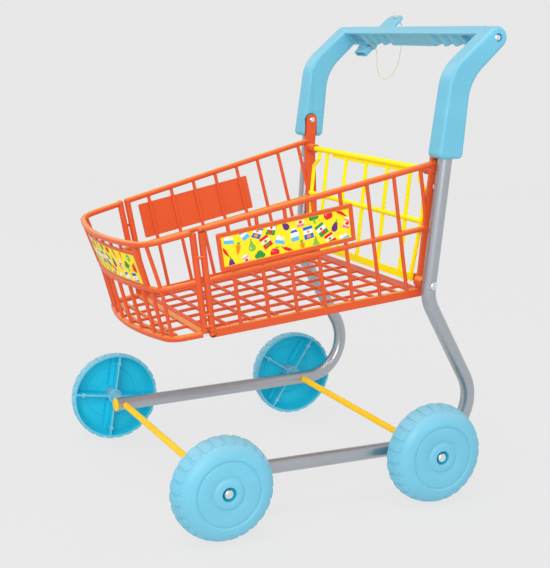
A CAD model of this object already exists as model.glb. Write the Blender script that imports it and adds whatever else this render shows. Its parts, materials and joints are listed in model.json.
"""Looks of the toy shopping trolley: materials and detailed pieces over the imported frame."""
import json
import math
import random

import bmesh
import bpy
import numpy as np
from mathutils import Euler, Matrix, Vector


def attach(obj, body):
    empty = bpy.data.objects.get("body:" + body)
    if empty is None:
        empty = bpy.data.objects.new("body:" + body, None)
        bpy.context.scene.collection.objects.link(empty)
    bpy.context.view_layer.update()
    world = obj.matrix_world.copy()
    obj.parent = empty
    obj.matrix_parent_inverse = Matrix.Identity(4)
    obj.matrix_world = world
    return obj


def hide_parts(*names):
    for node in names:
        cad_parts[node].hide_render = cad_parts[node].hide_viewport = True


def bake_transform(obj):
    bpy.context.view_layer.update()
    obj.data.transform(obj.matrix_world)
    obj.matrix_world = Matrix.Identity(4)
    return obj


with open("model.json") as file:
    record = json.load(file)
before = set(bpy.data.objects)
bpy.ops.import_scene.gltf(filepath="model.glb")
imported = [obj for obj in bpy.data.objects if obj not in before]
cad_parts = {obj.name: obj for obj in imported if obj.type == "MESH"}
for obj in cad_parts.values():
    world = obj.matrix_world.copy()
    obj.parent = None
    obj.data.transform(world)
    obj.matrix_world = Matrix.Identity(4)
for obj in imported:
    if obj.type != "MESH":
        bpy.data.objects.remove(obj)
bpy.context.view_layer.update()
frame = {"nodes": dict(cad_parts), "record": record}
NODES = frame["nodes"]
MM = 0.001


def new_object(name, data):
    obj = bpy.data.objects.new(name, data)
    bpy.context.scene.collection.objects.link(obj)
    return obj


# ---------- camera ----------

def make_camera():
    cam = bpy.data.cameras.new("camera")
    obj = new_object("camera", cam)
    azimuth, elevation, roll = (math.radians(a) for a in (65.76, 11.89, -0.33))
    forward = Vector((
        -math.sin(azimuth) * math.cos(elevation),
        math.cos(azimuth) * math.cos(elevation),
        -math.sin(elevation),
    ))
    obj.location = (1.2735, -0.6073, 0.5189)
    look = forward.to_track_quat("-Z", "Y").to_matrix()
    obj.rotation_euler = (look @ Matrix.Rotation(roll, 3, "Z")).to_euler()
    cam.sensor_fit = "HORIZONTAL"
    cam.sensor_width = 36
    cam.lens = 79.8
    cam.shift_x = 0.0353
    cam.shift_y = 0.0014
    cam.clip_start = 0.05
    bpy.context.scene.camera = obj


make_camera()


# ---------- numbers shared by pieces (millimetres) ----------

def turn(x=0.0, y=0.0, z=0.0):
    return Euler((math.radians(x), math.radians(y), math.radians(z)), "XYZ").to_matrix().to_4x4()


def shift(x, y, z):
    return Matrix.Translation((x, y, z))


WHEEL_R = 56
FRONT_AXLE_Y, REAR_AXLE_Y = -154, 100
BAR_AT = (172.3, 507.6)  # y and z of the middle of the crossbar's round back

# Local frames: x to the rear, y up and z to the right, each then leaned like its part.
SWAP = turn(90, 0, 90)
TUBE = shift(140.5, FRONT_AXLE_Y, WHEEL_R) @ turn(0, 2.2, -2.1) @ SWAP
PANEL = shift(106.8, -134.6, 201.6) @ turn(0, 0, -5.5) @ turn(0, 7, 0) @ SWAP
BAR = shift(0, *BAR_AT) @ turn(41, 0, 0) @ SWAP
MIRROR = Matrix.Diagonal((-1, 1, 1, 1))


def placed(points, matrix, mirrored=False):
    """Points of a local frame in millimetres, as points of the shared frame in metres."""
    full = (MIRROR @ matrix) if mirrored else matrix
    return [(full @ Vector(p)) * MM for p in points]


# ---------- materials ----------

def new_material(name):
    mat = bpy.data.materials.new(name)
    mat.use_nodes = True
    tree = mat.node_tree
    tree.nodes.clear()
    out = tree.nodes.new("ShaderNodeOutputMaterial")
    bsdf = tree.nodes.new("ShaderNodeBsdfPrincipled")
    tree.links.new(bsdf.outputs[0], out.inputs[0])
    coords = tree.nodes.new("ShaderNodeTexCoord")
    return mat, tree, bsdf, coords


def noise(tree, coords, scale, detail=3.0, stretch=(1, 1, 1), rough=0.5):
    mapping = tree.nodes.new("ShaderNodeMapping")
    mapping.inputs["Scale"].default_value = stretch
    tree.links.new(coords.outputs["Object"], mapping.inputs[0])
    n = tree.nodes.new("ShaderNodeTexNoise")
    n.inputs["Scale"].default_value = scale
    n.inputs["Detail"].default_value = detail
    n.inputs["Roughness"].default_value = rough
    tree.links.new(mapping.outputs[0], n.inputs["Vector"])
    return n.outputs["Fac"]


def ramp(tree, value, low, high, out_low=0.0, out_high=1.0):
    m = tree.nodes.new("ShaderNodeMapRange")
    m.inputs["From Min"].default_value = low
    m.inputs["From Max"].default_value = high
    m.inputs["To Min"].default_value = out_low
    m.inputs["To Max"].default_value = out_high
    tree.links.new(value, m.inputs["Value"])
    return m.outputs[0]


def scaled(tree, value, most):
    """A value from 0 to 1, as one from 0 to most."""
    return ramp(tree, value, 0, 1, 0, most)


def mixed(tree, fac, a, b):
    """Colour between a and b, each of them a socket or an rgb triple."""
    m = tree.nodes.new("ShaderNodeMix")
    m.data_type = "RGBA"
    for socket, value in ((m.inputs[6], a), (m.inputs[7], b)):
        if hasattr(value, "is_linked"):
            tree.links.new(value, socket)
        else:
            socket.default_value = (*value, 1)
    tree.links.new(fac, m.inputs[0])
    return m.outputs[2]


def add_bump(tree, bsdf, layers, bevel=0.0):
    """layers: (height socket, strength, distance in metres), the coarsest first."""
    normal = None
    if bevel:
        b = tree.nodes.new("ShaderNodeBevel")
        b.samples = 4
        b.inputs["Radius"].default_value = bevel
        normal = b.outputs[0]
    for height, strength, distance in layers:
        n = tree.nodes.new("ShaderNodeBump")
        n.inputs["Strength"].default_value = strength
        n.inputs["Distance"].default_value = distance
        tree.links.new(height, n.inputs["Height"])
        if normal:
            tree.links.new(normal, n.inputs["Normal"])
        normal = n.outputs[0]
    tree.links.new(normal, bsdf.inputs["Normal"])


def shade(rgb, k):
    return tuple(min(1.0, c * k) for c in rgb)


def plastic(name, rgb, rough, grain, bevel=0.0, glow=0.06, gloss=0.4, lit=0.0, top=None):
    """Moulded plastic: flow marks in the colour, fine mould grain and paler scuffs.

    glow is the light spread under the surface, lit its own light, top the colour where it faces up.
    """
    mat, tree, bsdf, coords = new_material(name)
    flow = noise(tree, coords, 9, detail=4, stretch=(1, 1, 2.2))
    fine = noise(tree, coords, 1400, detail=2)
    waves = noise(tree, coords, 55)
    scratches = noise(tree, coords, 38, detail=9, stretch=(1, 2.5, 1), rough=0.72)
    scuff = ramp(tree, scratches, 0.64, 0.74)
    paler = tuple(c * 0.6 + 0.36 for c in rgb)
    base = mixed(tree, ramp(tree, flow, 0.3, 0.7), shade(rgb, 0.93), shade(rgb, 1.05))
    base = mixed(tree, scaled(tree, scuff, 0.12), base, paler)
    if top:
        up = tree.nodes.new("ShaderNodeSeparateXYZ")
        tree.links.new(tree.nodes.new("ShaderNodeNewGeometry").outputs["Normal"], up.inputs[0])
        base = mixed(tree, ramp(tree, up.outputs["Z"], 0.25, 0.95), base, top)
    tree.links.new(base, bsdf.inputs["Base Color"])
    dull = tree.nodes.new("ShaderNodeMath")
    dull.operation = "ADD"
    tree.links.new(ramp(tree, waves, 0.3, 0.7, rough - 0.05, rough + 0.07), dull.inputs[0])
    tree.links.new(scaled(tree, scuff, 0.2), dull.inputs[1])
    tree.links.new(dull.outputs[0], bsdf.inputs["Roughness"])
    bsdf.inputs["IOR"].default_value = 1.49
    bsdf.inputs["Specular IOR Level"].default_value = gloss
    bsdf.inputs["Emission Color"].default_value = (*rgb, 1)
    bsdf.inputs["Emission Strength"].default_value = lit
    bsdf.inputs["Subsurface Weight"].default_value = glow
    bsdf.inputs["Subsurface Radius"].default_value = (0.004, 0.004, 0.004)
    bsdf.inputs["Subsurface Scale"].default_value = 0.6
    add_bump(tree, bsdf, [(waves, 0.12, 0.0006), (fine, grain, 0.00006)], bevel)
    return mat


def metal(name, rgb, metallic, rough, flake, streak=(1, 1, 1), bevel=0.0, coat=0.0, worn_by=0.2):
    """Metal or metallic paint: cloudy colour, darker worn patches, a surface brushed along streak."""
    mat, tree, bsdf, coords = new_material(name)
    fine = noise(tree, coords, 2600, detail=2)
    brushed = noise(tree, coords, 240, detail=4, stretch=streak)
    cloudy = noise(tree, coords, 26, detail=6)
    worn = ramp(tree, noise(tree, coords, 70, detail=9, rough=0.75), 0.68, 0.8)
    dark, pale = shade(rgb, 1 - worn_by / 2), shade(rgb, 1 + worn_by / 4)
    base = mixed(tree, ramp(tree, cloudy, 0.3, 0.7), dark, pale)
    base = mixed(tree, scaled(tree, worn, worn_by), base, shade(rgb, 0.72))
    tree.links.new(base, bsdf.inputs["Base Color"])
    bsdf.inputs["Metallic"].default_value = metallic
    bsdf.inputs["Coat Weight"].default_value = coat
    bsdf.inputs["Coat Roughness"].default_value = 0.22
    roughness = ramp(tree, brushed, 0.3, 0.7, rough - worn_by / 4, rough + worn_by / 2)
    tree.links.new(roughness, bsdf.inputs["Roughness"])
    add_bump(tree, bsdf, [(brushed, worn_by / 3, 0.0001), (fine, flake, 0.00004)], bevel)
    return mat


def card(name, rgb):
    """Printed label stock."""
    mat, tree, bsdf, coords = new_material(name)
    tooth = noise(tree, coords, 900)
    wave = noise(tree, coords, 45)
    base = mixed(tree, ramp(tree, tooth, 0.25, 0.75), shade(rgb, 0.94), shade(rgb, 1.03))
    tree.links.new(base, bsdf.inputs["Base Color"])
    tree.links.new(ramp(tree, wave, 0.3, 0.7, 0.44, 0.58), bsdf.inputs["Roughness"])
    bsdf.inputs["Specular IOR Level"].default_value = 0.15
    add_bump(tree, bsdf, [(wave, 0.2, 0.0004), (tooth, 0.12, 0.00003)])
    return mat


def fibre(name, rgb):
    """Twisted cotton with a soft sheen."""
    mat, tree, bsdf, coords = new_material(name)
    strand = noise(tree, coords, 3000, detail=4, stretch=(1, 1, 0.3))
    patch = noise(tree, coords, 120, detail=4)
    base = mixed(tree, ramp(tree, strand, 0.3, 0.7), shade(rgb, 0.72), shade(rgb, 1.1))
    base = mixed(tree, ramp(tree, patch, 0.5, 0.8, 0, 0.3), base, shade(rgb, 0.8))
    tree.links.new(base, bsdf.inputs["Base Color"])
    bsdf.inputs["Roughness"].default_value = 0.85
    bsdf.inputs["Sheen Weight"].default_value = 0.4
    add_bump(tree, bsdf, [(strand, 0.7, 0.00012)])
    return mat


# Linear rgb. A _TOP colour is the paler one of faces that look up.
SKY = (0.158, 0.505, 0.67)
SKY_HANDLE = (0.148, 0.49, 0.655)
SKY_TOP = (0.225, 0.50, 0.62)
CYAN = (0.02, 0.56, 0.74)
ORANGE = (0.72, 0.095, 0.022)
ORANGE_TOP = (0.80, 0.27, 0.045)
YELLOW = (1.0, 0.84, 0.0)
WARM = (1.0, 0.60, 0.002)

M = {
    "wheel": plastic("wheel_plastic", SKY, 0.42, 0.3, top=SKY_TOP),
    "wheel_inner": plastic("wheel_plastic_inside", CYAN, 0.4, 0.3, glow=0, gloss=0.15, lit=0.05),
    "handle": plastic("handle_plastic", SKY_HANDLE, 0.36, 0.3, top=SKY_TOP),
    "basket": plastic(
        "basket_plastic", ORANGE, 0.33, 0.22, bevel=0.0008, glow=0.03, gloss=0.3, top=ORANGE_TOP),
    "floor": plastic(
        "basket_floor_plastic", ORANGE, 0.36, 0.22, bevel=0.0006, glow=0.03, gloss=0.25),
    "gate": plastic("gate_plastic", YELLOW, 0.34, 0.22, bevel=0.0007, glow=0.03, gloss=0.1),
    "trim": plastic("trim_plastic", WARM, 0.36, 0.2, bevel=0.0005, glow=0.03, gloss=0.15),
    "tube": metal("tube_paint", (0.42, 0.45, 0.485), 0.85, 0.3, 0.06, coat=0.2, worn_by=0.07),
    "steel": metal("axle_steel", (0.62, 0.63, 0.65), 1.0, 0.3, 0.1, streak=(0.05, 1, 1)),
    "zinc": metal("zinc_plate", (0.82, 0.83, 0.86), 1.0, 0.22, 0.15, bevel=0.0003),
    "string": fibre("string_cotton", (0.80, 0.70, 0.50)),
    "label": card("label_ground", (0.98, 0.76, 0.02)),
}
INKS = {
    "red": (0.78, 0.02, 0.03), "orange": (0.95, 0.25, 0.01), "green": (0.03, 0.30, 0.06),
    "lime": (0.22, 0.52, 0.05), "purple": (0.13, 0.03, 0.22), "blue": (0.01, 0.16, 0.55),
    "sky": (0.12, 0.50, 0.80), "white": (0.88, 0.87, 0.84), "pink": (0.85, 0.22, 0.30),
    "brown": (0.20, 0.09, 0.03), "cream": (0.93, 0.80, 0.45),
}
INK_NAMES = sorted(INKS)
for ink in INK_NAMES:
    M[ink] = card("ink_" + ink, INKS[ink])
BY_SLOT = {
    "wheel_blue": "wheel", "handle_blue": "handle", "basket_orange": "basket",
    "gate_yellow": "gate", "yellow_trim": "trim", "tube_grey": "tube", "axle_steel": "steel",
    "zinc": "zinc", "label": "label", "string": "string",
}
for row in frame["record"]["subparts"]:
    key = "floor" if row["node"] == "basket_floor" else BY_SLOT[row["material_slot"]]
    materials = NODES[row["node"]].data.materials
    materials.clear()
    materials.append(M[key])


# ---------- mesh helpers ----------

def solid_mesh(name, verts, faces):
    """Mesh whose faces all point outwards."""
    me = bpy.data.meshes.new(name)
    me.from_pydata([tuple(v) for v in verts], [], faces)
    bm = bmesh.new()
    bm.from_mesh(me)
    bmesh.ops.recalc_face_normals(bm, faces=bm.faces)
    bm.to_mesh(me)
    bm.free()
    return me


def finish_mesh(me, angle, mats):
    """Smooth shading with edges sharp above an angle in degrees, and the mesh's materials."""
    me.shade_smooth()
    me.set_sharp_from_angle(angle=math.radians(angle))
    me.materials.clear()
    for m in mats:
        me.materials.append(m)


def piece(name, verts, faces, mats, body, replaces=(), angle=32, face_mats=None, blend=None):
    """A finished piece on a body, or blended between two; replaces names the CAD nodes it hides."""
    me = solid_mesh(name, verts, faces)
    finish_mesh(me, angle, mats)
    if face_mats:
        me.polygons.foreach_set("material_index", face_mats)
    obj = new_object(name, me)
    if blend:
        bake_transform(obj)
    else:
        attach(obj, body)
    if replaces:
        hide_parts(*replaces)
    return obj


def frames_along(points):
    """Tangent and two cross directions at each point, carried along without twist."""
    pts = [Vector(p) for p in points]
    last = len(pts) - 1
    tangents = [
        (pts[min(i + 1, last)] - pts[max(i - 1, 0)]).normalized() for i in range(len(pts))
    ]
    side = tangents[0].orthogonal().normalized()
    out = []
    for t in tangents:
        side = (side - t * side.dot(t)).normalized()
        out.append((t, side, t.cross(side)))
    return out


def sweep(points, radius, sides):
    """Capped tube along points. radius is a number or radius(i, k), for ring i and side k."""
    verts, faces = [], []
    for i, (p, (_, a, b)) in enumerate(zip(points, frames_along(points))):
        for k in range(sides):
            r = radius(i, k) if callable(radius) else radius
            angle = 2 * math.pi * k / sides
            verts.append(Vector(p) + (a * math.cos(angle) + b * math.sin(angle)) * r)
    for i in range(len(points) - 1):
        for k in range(sides):
            n = (k + 1) % sides
            faces.append((i * sides + k, i * sides + n, (i + 1) * sides + n, (i + 1) * sides + k))
    last = (len(points) - 1) * sides
    faces.append(tuple(range(sides)))
    faces.append(tuple(range(last, last + sides)))
    return verts, faces


def join(parts):
    """One (points, faces) pair from several."""
    verts, faces = [], []
    for v, f in parts:
        base = len(verts)
        verts.extend(v)
        faces.extend(tuple(i + base for i in face) for face in f)
    return verts, faces


def smooth_route(points, step):
    """Catmull-Rom curve through the points, with 1 / step samples from each to the next."""
    pts = [Vector(p) for p in points]
    last = len(pts) - 1
    out = []
    count = int(round(last / step))
    for j in range(count + 1):
        f = j * step
        i = min(int(f), last - 1)
        u = f - i
        a, b, c, d = pts[max(i - 1, 0)], pts[i], pts[i + 1], pts[min(i + 2, last)]
        out.append(0.5 * (
            2 * b + (c - a) * u + (2 * a - 5 * b + 4 * c - d) * u * u
            + (3 * b - a - 3 * c + d) * u * u * u
        ))
    return out


def grid(rows, wrap_rows=False):
    """Faces between rows of points, each row a closed ring with as many points as the others.

    wrap_rows joins the last row to the first as well.
    """
    n = len(rows[0])
    verts = [p for row in rows for p in row]
    faces = []
    for i in range(len(rows) if wrap_rows else len(rows) - 1):
        j = (i + 1) % len(rows)
        for k in range(n):
            m = (k + 1) % n
            faces.append((i * n + k, i * n + m, j * n + m, j * n + k))
    return verts, faces


def prism(section, stations):
    """Solid through the closed rings that section gives at the stations, capped at both ends."""
    rows = [section(t) for t in stations]
    verts, faces = grid(rows)
    n = len(rows[0])
    faces.append(tuple(range(n)))
    faces.append(tuple(range(len(verts) - n, len(verts))))
    return verts, faces


def turned(profile, sides, at=(0, 0, 0)):
    """Solid of revolution about a line along z; profile runs from the axis back to the axis."""
    tip = 0.01  # least radius, so that the rings at the axis keep their points apart

    def ring(station):
        r, z = max(station[0], tip), station[1]
        angles = [2 * math.pi * k / sides for k in range(sides)]
        return [
            Vector((at[0] + r * math.cos(a), at[1] + r * math.sin(a), at[2] + z)) for a in angles
        ]

    return prism(ring, profile)


def arc(centre, r, start, end, steps):
    """Points on an arc, angles in degrees."""
    out = []
    for k in range(steps + 1):
        a = math.radians(start + (end - start) * k / steps)
        out.append((centre[0] + r * math.cos(a), centre[1] + r * math.sin(a)))
    return out


# ---------- the key's string ----------

STRING_D = 1.4
KNOT_STRAND_R = 0.62  # the string is drawn tighter in a knot
TAIL_R = 0.5
# Points of the shared frame, from the lock's lug down, up behind the crossbar and to the key's eye.
STRING_ROUTE = [
    (-110.9, 185.6, 492.3), (-110.8, 187.5, 490), (-110.6, 188.6, 484), (-111.4, 189, 476),
    (-112.6, 190.2, 468), (-113, 192.4, 460), (-111, 196, 455), (-107.4, 200.4, 454.2),
    (-103, 204.6, 457.6), (-99, 208, 464), (-96, 210.5, 472), (-94.6, 212.2, 481),
    (-95, 214, 490), (-96.6, 216.2, 499), (-99.6, 219.2, 507.6), (-104.4, 222.6, 515),
    (-111, 225.6, 520.4), (-118, 227, 523.6), (-122, 227, 525.8), (-123.5, 225.7, 528.3),
]


def make_knot(node, name, at, tail, body):
    """Trefoil knot in the string at a point of the crossbar's frame, with a loose tail."""
    loop_points, sides = 90, 10
    tail_points, fray_from = 14, 9
    centre = (BAR @ Vector(at)) * MM
    loops = []
    for k in range(loop_points + 1):
        a = 2 * math.pi * k / loop_points
        trefoil = Vector((
            math.sin(a) + 2 * math.sin(2 * a),
            math.cos(a) - 2 * math.cos(2 * a),
            -1.4 * math.sin(3 * a),
        ))
        loops.append(centre + KNOT_STRAND_R * MM * trefoil)
    along = Vector(tail)
    bend = along.orthogonal() * 0.18
    loose = [
        centre + MM * (along * t + bend * math.sin(3 * t)) for t in np.linspace(0, 1, tail_points)
    ]

    def frayed(i, k):
        return MM * (TAIL_R + (0.12 * math.cos(3 * k) if i > fray_from else 0))

    verts, faces = join([sweep(loops, KNOT_STRAND_R * MM, sides), sweep(loose, frayed, sides)])
    return piece(name, verts, faces, [M["string"]], body, [node], 60)


def make_string():
    """Two-strand string with a knot at each end: one at the lock's lug, one at the key's eye."""
    lug = make_knot("lug_knot", "lug_string_knot", (0, -13.6, -110.9), (3.4, -1.0, -1.6), "frame")
    end = make_knot("key_knot", "key_string_knot", (53.9, -14.4, -123.5), (-1.4, -2.6, 4.6), "key")
    path = [p * MM for p in smooth_route(STRING_ROUTE, 0.1)]
    length = sum((b - a).length for a, b in zip(path, path[1:]))
    lay = 2.1  # string diameters from one strand to the next, along the string
    turns = length / (lay * STRING_D * MM)
    sides = 12

    def twisted(i, k):
        lobe = math.cos(2 * (2 * math.pi * k / sides) - 2 * math.pi * turns * i / (len(path) - 1))
        return STRING_D * MM / 2 * (0.86 + 0.14 * lobe)

    verts, faces = sweep(path, twisted, sides)
    string = piece(
        "string", verts, faces, [M["string"]], "frame", ["key_string"], 60,
        blend=("frame", "key", (-0.110, 0.205, 0.480), (-0.118, 0.226, 0.524)),
    )


make_string()


# ---------- wheels ----------

# A wheel's depth runs from its inner face, at WHEEL_IN from the trolley's middle, outwards.
WHEEL_IN = 173
RECESS = 20  # depth of the floor of the recess round the axle's end
PADS = 26
PAD_LIFT = 1.1
PLAIN_HALF = 2.8  # the pads' columns of points go on beyond the tread, at this half width
TREAD_R = WHEEL_R - PAD_LIFT
PITCH = 2 * math.pi * TREAD_R / PADS


def crown(z):
    """Radius of the tread between its pads at depth z: it falls away towards the outer face."""
    level_to, run, fall = 6, 14, 3.9
    return TREAD_R - fall * max(0, (z - level_to) / run) ** 1.8


def tread_rows():
    """(radius, depth, half width of a pad there, lift of the pads) across the tread."""
    half, corner = 5.1, 2.4
    near, far = 1.5, 20.0
    straight = half - corner
    rows = []
    for d, lift in ((-0.25, 0), (0.25, 1), (1.0, 1), (2.4, 1)):
        bulge = math.sqrt(max(0, corner ** 2 - (corner - max(d, 0)) ** 2))
        rows.append((d, straight + bulge, lift * PAD_LIFT))
    out = [(near + d, e, lift) for d, e, lift in rows]
    out += [(z, half, PAD_LIFT) for z in (7, 10, 13, 15.5)]
    out += [(far - d, e, lift) for d, e, lift in reversed(rows)]
    return [(crown(z), z, e, lift) for z, e, lift in out]


def plain(points, inside=0):
    """Rows of the wheel's profile without pads; inside is 1 where the inner plastic shows."""
    return [(r, z, PLAIN_HALF, 0, inside) for r, z in points]


def wheel_profile():
    """Closed profile of the moulding: rows of (radius, depth, pad half width, lift, inside)."""
    rows = plain([(52.2, 0.3), (53.2, 0), (54.5, 0.1)])
    rows += [(*row, 0) for row in tread_rows()]
    shoulder = [
        (50.4, 21.2), (49.6, 22.2), (48.5, 23.3), (47.1, 24.4), (45.4, 25.5), (43.4, 26.5),
        (41, 27.3), (38.6, 27.8),
    ]
    face = [
        (36.9, 27.95), (36.1, 27.6), (35.4, 26.8), (34.6, 26.8), (34.0, 27.4), (33.4, 27.62),
        (26, 27.4), (21.4, 27.2), (19.6, 26.7), (18.4, 26.1), (17.2, 26.0), (16, 26.5),
        (15.2, 27.5), (14.2, 27.85), (9.4, 28), (8.4, 27.8), (7.9, 27.2),
    ]
    recess = [(7.8, 26), (7.8, RECESS + 0.3), (7.5, RECESS), (2.6, RECESS)]
    bore = [(2.6, 0.3), (2.9, 0), (8.3, 0), (8.9, 0.5)]
    dish = [
        (9.3, 20.2), (10, 20.8), (11.4, 20.9), (11.9, 21.9), (13.4, 22.1), (13.9, 23),
        (15.4, 23.2), (16, 24.1), (24, 24.6), (32.4, 24.4), (33.4, 23.2), (35.4, 22.9),
        (36.6, 22.8), (41, 22.6), (43.8, 21.8), (46.2, 20), (48.6, 17), (50, 13.4), (51, 9),
        (51.8, 1.4),
    ]
    return rows + plain(shoulder) + plain(face) + plain(recess, 1) + plain(bore) + plain(dish, 1)


def wheel_shell():
    """Rim, face, hub and tread in one closed skin: points, faces and a material for each face."""
    flank = 0.15  # half the run of a pad's side wall
    rings = []
    profile = wheel_profile()
    for r, z, e, lift, _ in profile:
        across = (
            (-PITCH / 2, 0), (-e - flank, 0), (-e + flank, 1), (-0.5 * e, 1), (0, 1),
            (0.5 * e, 1), (e - flank, 1), (e + flank, 0),
        )
        ring = []
        for pad in range(PADS):
            for s, raised in across:
                a = 2 * math.pi * pad / PADS + s / TREAD_R
                rr = r + lift * raised
                ring.append(Vector((rr * math.cos(a), rr * math.sin(a), z)))
        rings.append(ring)
    verts, faces = grid(rings, True)
    mats = [row[4] for row in profile for _ in rings[0]]
    return verts, faces, mats


def wheel_rib(angle, wide):
    """One spoke with its boss, and a broad raised band if wide, as (points, faces, materials)."""
    parts = []
    c, s = math.cos(math.radians(angle)), math.sin(math.radians(angle))

    def along(r, across, z):
        return Vector((r * c - across * s, r * s + across * c, z))

    def bar(half, shoulder, top, crest):
        """Section of a raised bar with bevelled edges, at a (radius, depth of its root) station."""
        def section(station):
            r, root = station
            outline = (
                (-half, root), (-half, shoulder), (-top, crest), (top, crest), (half, shoulder),
                (half, root),
            )
            return [along(r, w, z) for w, z in outline]
        return section

    def by_depth(limit, v, f):
        """Outer plastic on the faces that lie wholly before a depth, inner plastic on the others."""
        return [0 if max(v[i].z for i in face) < limit else 1 for face in f]

    v, f = prism(bar(1.2, 1.7, 0.8, 1.2), [(8.6, 25.4), (40, 25.4), (46, 22.5), (51.9, 10)])
    parts.append((v, f, by_depth(1.75, v, f)))
    if wide:
        v, f = prism(bar(5.6, 17.4, 4.6, 16), [(9, 25.5), (41, 25.4), (46.3, 21), (48, 18.6)])
        parts.append((v, f, [1] * len(f)))
    boss = [(0, 0.6), (2.2, 0.6), (2.7, 1.1), (2.7, 23), (0, 23)]
    v, f = turned(boss, 20, along(42.6, 0, 0))
    parts.append((v, f, by_depth(1.15, v, f)))
    return parts


def make_wheel(name, side, y, turned_by):
    """Wheel on the left (side -1) or right (side 1) end of the axle at y."""
    parts = [wheel_shell()]
    for k in range(4):
        parts += wheel_rib(90 * k, k % 2 == 0)
    verts, faces = join([(v, f) for v, f, _ in parts])
    mats = [m for _, _, ms in parts for m in ms]
    place = shift(WHEEL_IN, y, WHEEL_R) @ turn(0, 90, 0) @ turn(0, 0, turned_by)
    piece(
        name + "_moulding", placed(verts, place, side < 0), faces, [M["wheel"], M["wheel_inner"]],
        name, [name], 30, mats,
    )


make_wheel("front_left_wheel", -1, FRONT_AXLE_Y, -9)
make_wheel("front_right_wheel", 1, FRONT_AXLE_Y, 9)
make_wheel("rear_left_wheel", -1, REAR_AXLE_Y, -34)
make_wheel("rear_right_wheel", 1, REAR_AXLE_Y, 30)


def make_push_caps():
    """Domed caps pushed onto the axle ends, in the recesses of the wheels' outer faces."""
    dome = [
        (0, 0.3), (6.0, 0.3), (6.3, 0.6), (6.3, 1.1), (5.6, 1.5), (5.5, 4.6), (5.3, 5.6),
        (4.6, 6.7), (3.3, 7.4), (1.7, 7.7), (0, 7.8),
    ]
    v, f = turned(dome, 36)
    parts = []
    for mirrored in (True, False):
        for y in (FRONT_AXLE_Y, REAR_AXLE_Y):
            place = shift(WHEEL_IN + RECESS, y, WHEEL_R) @ turn(0, 90, 0)
            parts.append((placed(v, place, mirrored), f))
    verts, faces = join(parts)
    piece("push_caps", verts, faces, [M["zinc"]], "frame", ["axle_lock_caps"], 40)


make_push_caps()


# ---------- handle arms ----------

ARM_IN, ARM_OUT = 150.5, 175.5  # x of the inner and the outer face
ARM_FOOT = (116.6, 382.0)  # y and z of points on the middle line
ARM_BEND = (127.3, 468.5)
POST_TOP = (114.8, 402.0)


def rounded_path(corners):
    """Closed outline with an arc at each (point, radius) corner: points and outward normals."""
    pts = [Vector(p) for p, _ in corners]
    area = sum(a.x * b.y - b.x * a.y for a, b in zip(pts, pts[1:] + pts[:1]))
    way = 1 if area > 0 else -1
    out = []
    for i, (_, r) in enumerate(corners):
        before, here, after = pts[i - 1], pts[i], pts[(i + 1) % len(pts)]
        d1, d2 = (here - before).normalized(), (after - here).normalized()
        bend = d1.x * d2.y - d1.y * d2.x
        angle = d1.angle(d2)
        back = r * math.tan(angle / 2)
        sign = 1 if bend > 0 else -1
        centre = here - d1 * back + Vector((-d1.y, d1.x)) * sign * r
        steps = max(2, int(math.degrees(angle) / 6))
        for k in range(steps + 1):
            a = angle * k / steps * sign
            n = Vector((d1.y, -d1.x)) * sign
            n = Vector((n.x * math.cos(a) - n.y * math.sin(a), n.x * math.sin(a) + n.y * math.cos(a)))
            out.append((centre + n * r, n * sign * way))
    return out


def crossing(p, d, q, e):
    """Where the line through p along d meets the line through q along e."""
    t = ((q.x - p.x) * e.y - (q.y - p.y) * e.x) / (d.x * e.y - d.y * e.x)
    return p + d * t


def arm_outline():
    """Outline of an arm in y and z, narrowing from the foot over the bend to the crossbar."""
    foot_half, bend_half_low, bend_half_up, end_half = 15.6, 13.2, 12.8, 11.7
    tip_r, toe_r = 11.6, 5.6
    foot, bend, end = Vector(ARM_FOOT), Vector(ARM_BEND), Vector(BAR_AT)
    low = (bend - foot).normalized()
    up = (end - bend).normalized()
    front_low, front_up = Vector((-low.y, low.x)), Vector((-up.y, up.x))
    corners = [(Vector((101.0, 381.4)), toe_r)]
    for side, fillet in ((1, 46), (-1, 50)):
        p = foot + front_low * side * foot_half
        q = bend + front_low * side * bend_half_low
        r = bend + front_up * side * bend_half_up
        t = end + front_up * side * end_half
        knee = (crossing(p, (q - p).normalized(), r, (t - r).normalized()), fillet)
        tip = (t + up * end_half, tip_r)
        corners += [knee, tip] if side > 0 else [tip, knee]
    corners.append((Vector((131.9, 380.2)), toe_r))
    return rounded_path(corners)


def cut_from(obj, cutters):
    """Boolean differences, applied to the mesh together."""
    tools = []
    for verts, faces in cutters:
        tool = new_object("cutter", solid_mesh("cutter", verts, faces))
        mod = obj.modifiers.new("cut", "BOOLEAN")
        mod.operation = "DIFFERENCE"
        mod.solver = "EXACT"
        mod.object = tool
        tools.append(tool)
    cut = obj.evaluated_get(bpy.context.evaluated_depsgraph_get())
    result = bpy.data.meshes.new_from_object(cut)
    obj.modifiers.clear()
    obj.data = result
    for tool in tools:
        me = tool.data
        bpy.data.objects.remove(tool)
        bpy.data.meshes.remove(me)


def box_mesh(lo, hi):
    """Box between its lowest and its highest corner."""
    def ring(z):
        corners = ((lo[0], lo[1]), (hi[0], lo[1]), (hi[0], hi[1]), (lo[0], hi[1]))
        return [Vector((x, y, z)) for x, y in corners]
    return prism(ring, [lo[2], hi[2]])


def rod_along_x(x0, x1, y, z, r):
    """Round rod of radius r from x0 to x1."""
    v, f = turned([(0, 0), (r, 0), (r, x1 - x0), (0, x1 - x0)], 40)
    return [turn(0, 90, 0) @ p + Vector((x0, y, z)) for p in v], f


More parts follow.
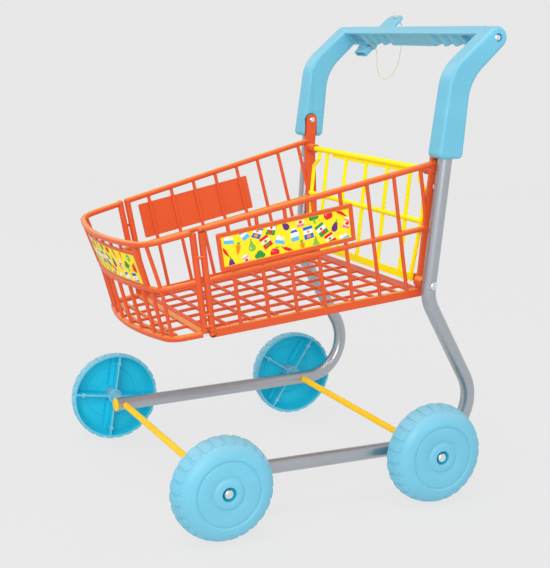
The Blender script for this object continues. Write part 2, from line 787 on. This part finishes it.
def arm_stations():
    """(x, inset of the outline) from the inner face to the outer one, with both edges rounded."""
    edge, steps = 4.1, 7
    rows = []
    for step in range(steps + 1):
        a = math.radians(90 * step / steps)
        rows.append((ARM_IN + edge * (1 - math.sin(a)), edge * (1 - math.cos(a))))
    rows.reverse()
    rows.insert(0, (ARM_IN, edge + 0.5))
    return rows + [(ARM_IN + ARM_OUT - x, inset) for x, inset in reversed(rows)]


def make_arm(name, mirrored):
    """Arm with a bore for the side tube, a pocket for the rear post and a recess for a screw."""
    tube_bore_r, pocket_top_r, screw_recess_r = 8.45, 8.5, 4.6
    pocket_in, pocket_out = ARM_IN - 2, ARM_IN + 3.6
    outline = arm_outline()

    def ring(station):
        x, inset = station
        return [Vector((x, p.x - n.x * inset, p.y - n.y * inset)) for p, n in outline]

    verts, faces = prism(ring, arm_stations())
    obj = new_object(name + "_moulding", solid_mesh(name, verts, faces))
    tube_low, tube_high = TUBE @ Vector((266, 268, 0)), TUBE @ Vector((275.43, 369.4, 0))
    cut_from(obj, [
        sweep([tube_low, tube_high], tube_bore_r, 40),
        box_mesh((pocket_in, 105.6, 376), (pocket_out, 122.6, POST_TOP[1])),
        rod_along_x(pocket_in, pocket_out, POST_TOP[0] - 0.7, POST_TOP[1], pocket_top_r),
        rod_along_x(ARM_OUT - 3, ARM_OUT + 2, BAR_AT[0], BAR_AT[1], screw_recess_r),
    ])
    me = obj.data
    to_metres = Matrix.Scale(MM, 4)
    if mirrored:
        me.transform(to_metres @ MIRROR)
        me.flip_normals()
    else:
        me.transform(to_metres)
    finish_mesh(me, 26, [M["handle"]])
    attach(obj, "frame")
    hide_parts(name)


make_arm("left_handle_arm", True)
make_arm("right_handle_arm", False)


def make_moulded_frame():
    """Raised plain rectangle moulded on the inner face of the left arm."""
    centre, wide, tall, ridge = Vector((124.6, 438.5)), 16.0, 54.0, 0.7
    proud, sunk = 0.3, 0.2
    sides = (
        (0, tall / 2, wide + ridge, ridge), (0, -tall / 2, wide + ridge, ridge),
        (wide / 2, 0, ridge, tall), (-wide / 2, 0, ridge, tall),
    )
    parts = []
    for dy, dz, size_y, size_z in sides:
        y, z = centre.x + dy, centre.y + dz
        parts.append(box_mesh(
            (ARM_IN - proud, y - size_y / 2, z - size_z / 2),
            (ARM_IN + sunk, y + size_y / 2, z + size_z / 2),
        ))
    verts, faces = join(parts)
    placed_verts = placed(verts, Matrix.Identity(4), mirrored=True)
    piece("left_arm_moulded_frame", placed_verts, faces, [M["handle"]], "frame")


make_moulded_frame()


# ---------- crossbar ----------

BAR_FRONT, BAR_LOW, BAR_HIGH, BAR_R = -4.5, -10.5, 10.0, 12.2


def make_crossbar():
    """Bar with a round back; its flat front has finger grooves, a sunk middle and end pockets."""
    groove_r, groove_depth = 11.0, 4.0
    first_groove, groove_pitch = 58, 21.5
    middle_half, middle_depth = 40, 1.1
    pocket_from, pocket_to, pocket_depth = 114.1, 146.3, 5.4
    cut_top, cut_foot = 6.5, -8
    beside_steps = (39.6, 40.3, 113.8, 114.4, 130, 146, 146.6)
    half_groove = math.sqrt(groove_r ** 2 - (groove_r - groove_depth) ** 2)
    centres = [s * (first_groove + groove_pitch * k) for s in (-1, 1) for k in range(3)]
    stations = {-ARM_IN, 0.0, ARM_IN}
    for s in (-1, 1):
        stations |= {s * x for x in beside_steps}
    for c in centres:
        stations |= {c + half_groove * k / 8 for k in range(-8, 9)}
        stations |= {c - half_groove - 0.6, c + half_groove + 0.6}

    def depth(x, v):
        """How far the front is sunk at station x and height v; only the grooves reach the foot."""
        if v > cut_top:
            return 0.0
        for c in centres:
            if abs(x - c) < half_groove:
                return math.sqrt(groove_r ** 2 - (x - c) ** 2) - (groove_r - groove_depth)
        if v < cut_foot:
            return 0.0
        if abs(x) < middle_half:
            return middle_depth
        if pocket_from < abs(x) < pocket_to:
            return pocket_depth
        return 0.0

    front = [9.2, 6.8, 6.2, 3, 0, -3, -7.6, -8.4, -9.7]
    top_u = math.sqrt(BAR_R ** 2 - BAR_HIGH ** 2)
    top_a = math.degrees(math.atan2(BAR_HIGH, top_u))
    low_a = math.degrees(math.atan2(BAR_LOW, math.sqrt(BAR_R ** 2 - BAR_LOW ** 2)))

    def section(x):
        ring = [(BAR_FRONT + depth(x, v), v) for v in front]
        d = depth(x, front[-1])
        ring += [
            (BAR_FRONT + d + 0.3, BAR_LOW + 0.3), (BAR_FRONT + d + 0.9, BAR_LOW),
            (0, BAR_LOW), (4, BAR_LOW),
        ]
        ring += arc((0, 0), BAR_R, low_a + 3, top_a - 3, 18)
        ring += [
            (4, BAR_HIGH), (0, BAR_HIGH), (BAR_FRONT + 0.9, BAR_HIGH),
            (BAR_FRONT + 0.3, BAR_HIGH - 0.3),
        ]
        return [Vector((u, v, x)) for u, v in ring]

    verts, faces = prism(section, sorted(stations))
    piece(
        "crossbar_moulding", placed(verts, BAR), faces, [M["handle"]], "frame",
        ["handle_crossbar"], 26,
    )


make_crossbar()


# ---------- CAD parts with their edges rounded in the mesh ----------

def softened(node, name, body, width):
    """A blue CAD part again, with its sharp edges rounded to a width in millimetres."""
    weld, flat, sharp = 0.000002, math.radians(1), math.radians(35)
    me = NODES[node].data.copy()
    bm = bmesh.new()
    bm.from_mesh(me)
    bmesh.ops.remove_doubles(bm, verts=bm.verts, dist=weld)
    bmesh.ops.dissolve_limit(
        bm, angle_limit=flat, verts=bm.verts, edges=bm.edges, delimit={"NORMAL"})
    edges = [e for e in bm.edges if len(e.link_faces) == 2 and e.calc_face_angle(0) > sharp]
    bmesh.ops.bevel(
        bm, geom=edges, offset=width * MM, segments=3, profile=0.5, affect="EDGES",
        clamp_overlap=True)
    bm.to_mesh(me)
    bm.free()
    finish_mesh(me, 30, [M["handle"]])
    obj = new_object(name, me)
    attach(obj, body)
    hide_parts(node)


softened("lock_housing", "lock_sheath", "frame", 0.5)
softened("lock_key", "key_blade", "key", 0.6)


# ---------- printed labels ----------

# Each picture is a list of (ink, outline), the lowest layer first, in units of about 1.6 mm.

def oval(cx, cy, rx, ry, steps=18):
    angles = [2 * math.pi * k / steps for k in range(steps)]
    return [(cx + rx * math.cos(a), cy + ry * math.sin(a)) for a in angles]


def block(x0, y0, x1, y1):
    return [(x0, y0), (x1, y0), (x1, y1), (x0, y1)]


def leaf(x, y, size, tilt):
    pts = [(0, 0), (0.5, 0.32), (1.1, 0.3), (1.7, 0), (1.1, -0.3), (0.5, -0.32)]
    c, s = math.cos(tilt), math.sin(tilt)
    return [(x + size * (a * c - b * s), y + size * (a * s + b * c)) for a, b in pts]


def apple():
    return [("red", oval(-0.9, 0, 2.3, 2.9)), ("red", oval(0.9, 0, 2.3, 2.9)),
            ("brown", block(-0.25, 2.3, 0.25, 4.2)), ("lime", leaf(0.2, 3.2, 1.5, 0.5)),
            ("pink", oval(-1.5, 1.0, 0.5, 0.9, 10))]


def carrot():
    body = [
        (-1.7, 2.2), (0, 2.8), (1.7, 2.2), (1.3, -0.6), (0.5, -3.4), (0, -4.6), (-0.5, -3.4),
        (-1.3, -0.6),
    ]
    return [("orange", body), ("green", leaf(0, 2.4, 1.5, 1.2)), ("green", leaf(0, 2.4, 1.5, 2.0)),
            ("lime", leaf(0, 2.4, 1.6, 1.6))]


def aubergine():
    body = [
        (0, 3), (1.3, 2), (2.1, -0.6), (2.2, -2.6), (1.2, -4), (-0.4, -4.3), (-2, -3.4),
        (-2.3, -1.4), (-1.5, 1.4),
    ]
    return [("purple", body), ("green", leaf(0.2, 3.0, 1.2, -0.7)),
            ("green", leaf(0.0, 3.0, 1.2, -2.3)), ("green", block(-0.3, 2.6, 0.4, 4.6))]


def broccoli():
    return [("lime", block(-0.9, -3.8, 0.9, 0)), ("green", oval(-1.7, 0.6, 1.8, 1.7)),
            ("green", oval(1.7, 0.6, 1.8, 1.7)), ("green", oval(0, 2, 2.1, 2))]


def packet(main, band, spot):
    return [(main, block(-3.2, -4.2, 3.2, 4.2)), (band, block(-3.2, -0.8, 3.2, 2.2)),
            (spot, oval(0, -2.3, 1.4, 1.2, 14)), (spot, oval(0, 0.7, 0.9, 0.9, 12))]


def carton():
    return [("white", block(-2.6, -4, 2.6, 1.8)), ("sky", block(-2.6, -4, 2.6, -1.2)),
            ("blue", [(-2.6, 1.8), (2.6, 1.8), (1.4, 3.6), (-1.4, 3.6)]),
            ("white", block(-1.4, 3.5, 1.4, 4.5))]


def chilli():
    body = [
        (-3.6, 2.6), (-2.2, 2.9), (-0.6, 2.0), (1.2, 0.2), (2.8, -2.2), (4.1, -3.6), (2.2, -3.0),
        (-0.4, -1.4), (-2.6, 0.4),
    ]
    return [("red", body), ("green", leaf(-3.0, 2.6, 1.2, 2.2))]


def pear():
    body = [
        (0, 4), (0.9, 3.2), (1.3, 1.4), (2.5, -0.6), (2.5, -2.6), (1.2, -4), (-1.2, -4),
        (-2.5, -2.6), (-2.5, -0.6), (-1.3, 1.4), (-0.9, 3.2),
    ]
    return [("lime", body), ("brown", block(-0.2, 3.6, 0.3, 5)),
            ("white", oval(-1.1, -1.6, 0.4, 0.8, 10))]


def tin():
    return [("pink", block(-2.6, -3.4, 2.6, 3.2)), ("white", oval(0, 3.2, 2.6, 0.9)),
            ("cream", block(-2.6, -1.6, 2.6, 1.4)), ("red", oval(0, -0.1, 1.3, 1.1, 14))]


def egg_box():
    return [("white", oval(-1.6, 0, 1.6, 2.2)), ("cream", oval(1.4, -0.6, 1.6, 2.2)),
            ("sky", block(-3.4, -3.6, 3.4, -1.2))]


def goods():
    return [
        apple(), packet("blue", "white", "orange"), carrot(), aubergine(),
        packet("red", "cream", "green"), broccoli(), carton(), chilli(),
        packet("green", "white", "red"), pear(), tin(), egg_box(),
    ]


def clamped(value, limit):
    return max(-limit, min(limit, value))


def slab(outline, low, high, on_label):
    """Thin solid over an outline on a label, from height low to height high."""
    n = len(outline)
    verts = [on_label(x, y, up) for up in (low, high) for x, y in outline]
    faces = [tuple(range(n)), tuple(range(2 * n - 1, n - 1, -1))]
    faces += [(i, (i + 1) % n, n + (i + 1) % n, n + i) for i in range(n)]
    return verts, faces


def make_print(name, half_w, half_h, on_label, seed):
    """Little pictures of groceries in three staggered rows, the outer two running off the edges."""
    pitch, margin = 15.5, 2.5
    row_rise = 0.86  # in half heights of the label
    sunk, layer_rise = 0.05, 0.03
    draw = random.Random(seed)
    kinds = goods()
    parts, mats = [], []
    count = int(2 * half_w / pitch)
    for row in range(3):
        extra = row % 2
        for k in range(count + extra):
            cx = (k + 0.5 - 0.5 * extra) * 2 * half_w / count - half_w + draw.uniform(-0.8, 0.8)
            cy = (row - 1) * row_rise * half_h + draw.uniform(-0.5, 0.5)
            cx = clamped(cx, half_w - margin)
            scale = draw.uniform(1.45, 1.7)
            tilt = draw.uniform(-0.5, 0.5)
            kind = kinds[(seed + k * 7 + row * 4) % len(kinds)]
            c, s = math.cos(tilt) * scale, math.sin(tilt) * scale
            for layer, (ink, outline) in enumerate(kind):
                pts = [
                    (clamped(cx + x * c - y * s, half_w), clamped(cy + x * s + y * c, half_h))
                    for x, y in outline
                ]
                verts, faces = slab(pts, -sunk, sunk + layer_rise * layer, on_label)
                parts.append((verts, faces))
                mats += [INK_NAMES.index(ink)] * len(faces)
    verts, faces = join(parts)
    inks = [M[i] for i in INK_NAMES]
    piece(name, verts, faces, inks, "frame", angle=20, face_mats=mats)


LABEL_AT = PANEL @ shift(81, 102, 2.7) @ turn(0, 0, 9.6)


def side_print(mirrored):
    """Places points on a side label; mirrored is the left one, its pictures the right way round."""
    flip = -1 if mirrored else 1

    def on_label(x, y, up):
        return placed([(x * flip, y, up)], LABEL_AT, mirrored)[0]
    return on_label


def nose_print(x, y, up):
    """x along the curved front, y up the cone between the middle rail and the top rail."""
    low_r, high_r, low_z, high_z = 339, 357, 249.88, 298.44
    middle, surface, label_r, axis_y = 0.45, 0.56, 345, 133
    f = middle + y / (high_z - low_z)
    r = low_r + (high_r - low_r) * f + surface + up
    a = x / label_r
    return Vector((r * math.sin(a), axis_y - r * math.cos(a), low_z + (high_z - low_z) * f)) * MM


SIDE_HALF_W, SIDE_HALF_H = 71.4, 15.9
make_print("right_label_print", SIDE_HALF_W, SIDE_HALF_H, side_print(False), seed=3)
make_print("left_label_print", SIDE_HALF_W, SIDE_HALF_H, side_print(True), seed=8)
make_print("nose_label_print", 77.4, 15.0, nose_print, seed=5)


# ---------- stage ----------

def make_light(name, place, target, size, watts):
    light = bpy.data.lights.new(name, "AREA")
    light.shape = "DISK"
    light.size = size
    light.energy = watts
    lamp = new_object(name, light)
    lamp.location = place
    lamp.rotation_euler = (Vector(target) - Vector(place)).to_track_quat("-Z", "Y").to_euler()


def make_backdrop():
    """Pale bowl that is floor and background all round; most of its brightness is its own."""
    mat, tree, bsdf, coords = new_material("studio_paper")
    darker, paler = (0.078,) * 3, (0.082,) * 3
    tree.links.new(
        mixed(tree, noise(tree, coords, 2, detail=2), darker, paler), bsdf.inputs["Base Color"])
    bsdf.inputs["Roughness"].default_value = 0.95
    bsdf.inputs["Specular IOR Level"].default_value = 0.0
    bsdf.inputs["Emission Color"].default_value = (1, 1, 1, 1)
    bsdf.inputs["Emission Strength"].default_value = 0.725
    floor_r, bend_r, wall_top, sides = 2.6, 1.2, 2.6, 96
    profile = [(0.5, 0), (floor_r, 0)]
    profile += arc((floor_r, bend_r), bend_r, -84, 0, 14)
    profile.append((floor_r + bend_r, wall_top))
    angles = np.linspace(0, 2 * math.pi, sides + 1)[:-1]
    verts, faces = grid([
        [Vector((out * math.cos(a), out * math.sin(a), up)) for a in angles] for out, up in profile
    ])
    faces.append(tuple(range(sides - 1, -1, -1)))
    me = bpy.data.meshes.new("backdrop")
    me.from_pydata([tuple(v) for v in verts], [], faces)
    me.shade_smooth()
    me.materials.append(mat)
    new_object("backdrop", me)


def make_world():
    """Grey sky that is brighter towards the front right and above."""
    world = bpy.data.worlds.new("studio")
    world.use_nodes = True
    tree = world.node_tree
    around = tree.nodes.new("ShaderNodeTexCoord")
    facing = tree.nodes.new("ShaderNodeVectorMath")
    facing.operation = "DOT_PRODUCT"
    facing.inputs[1].default_value = (0.62, -0.55, 0.56)
    tree.links.new(around.outputs["Generated"], facing.inputs[0])
    nearness = ramp(tree, facing.outputs["Value"], -0.7, 0.8)
    sky = mixed(tree, nearness, (0.12, 0.12, 0.13), (0.85, 0.85, 0.85))
    tree.links.new(sky, tree.nodes["Background"].inputs[0])
    bpy.context.scene.world = world


make_backdrop()
make_light("key_light", (2.5, -1.5, 1.4), (0, 0, 0.25), 1.9, 44)
make_light("top_light", (0.5, -0.5, 2.6), (0, 0, 0.25), 1.2, 14)
make_light("fill_light", (0.6, 2.2, 1.6), (0, 0, 0.25), 2.0, 5)
make_light("rim_light", (-1.8, -0.9, 1.8), (0, 0, 0.3), 1.2, 10)
make_world()
bpy.context.scene.view_settings.view_transform = "Standard"
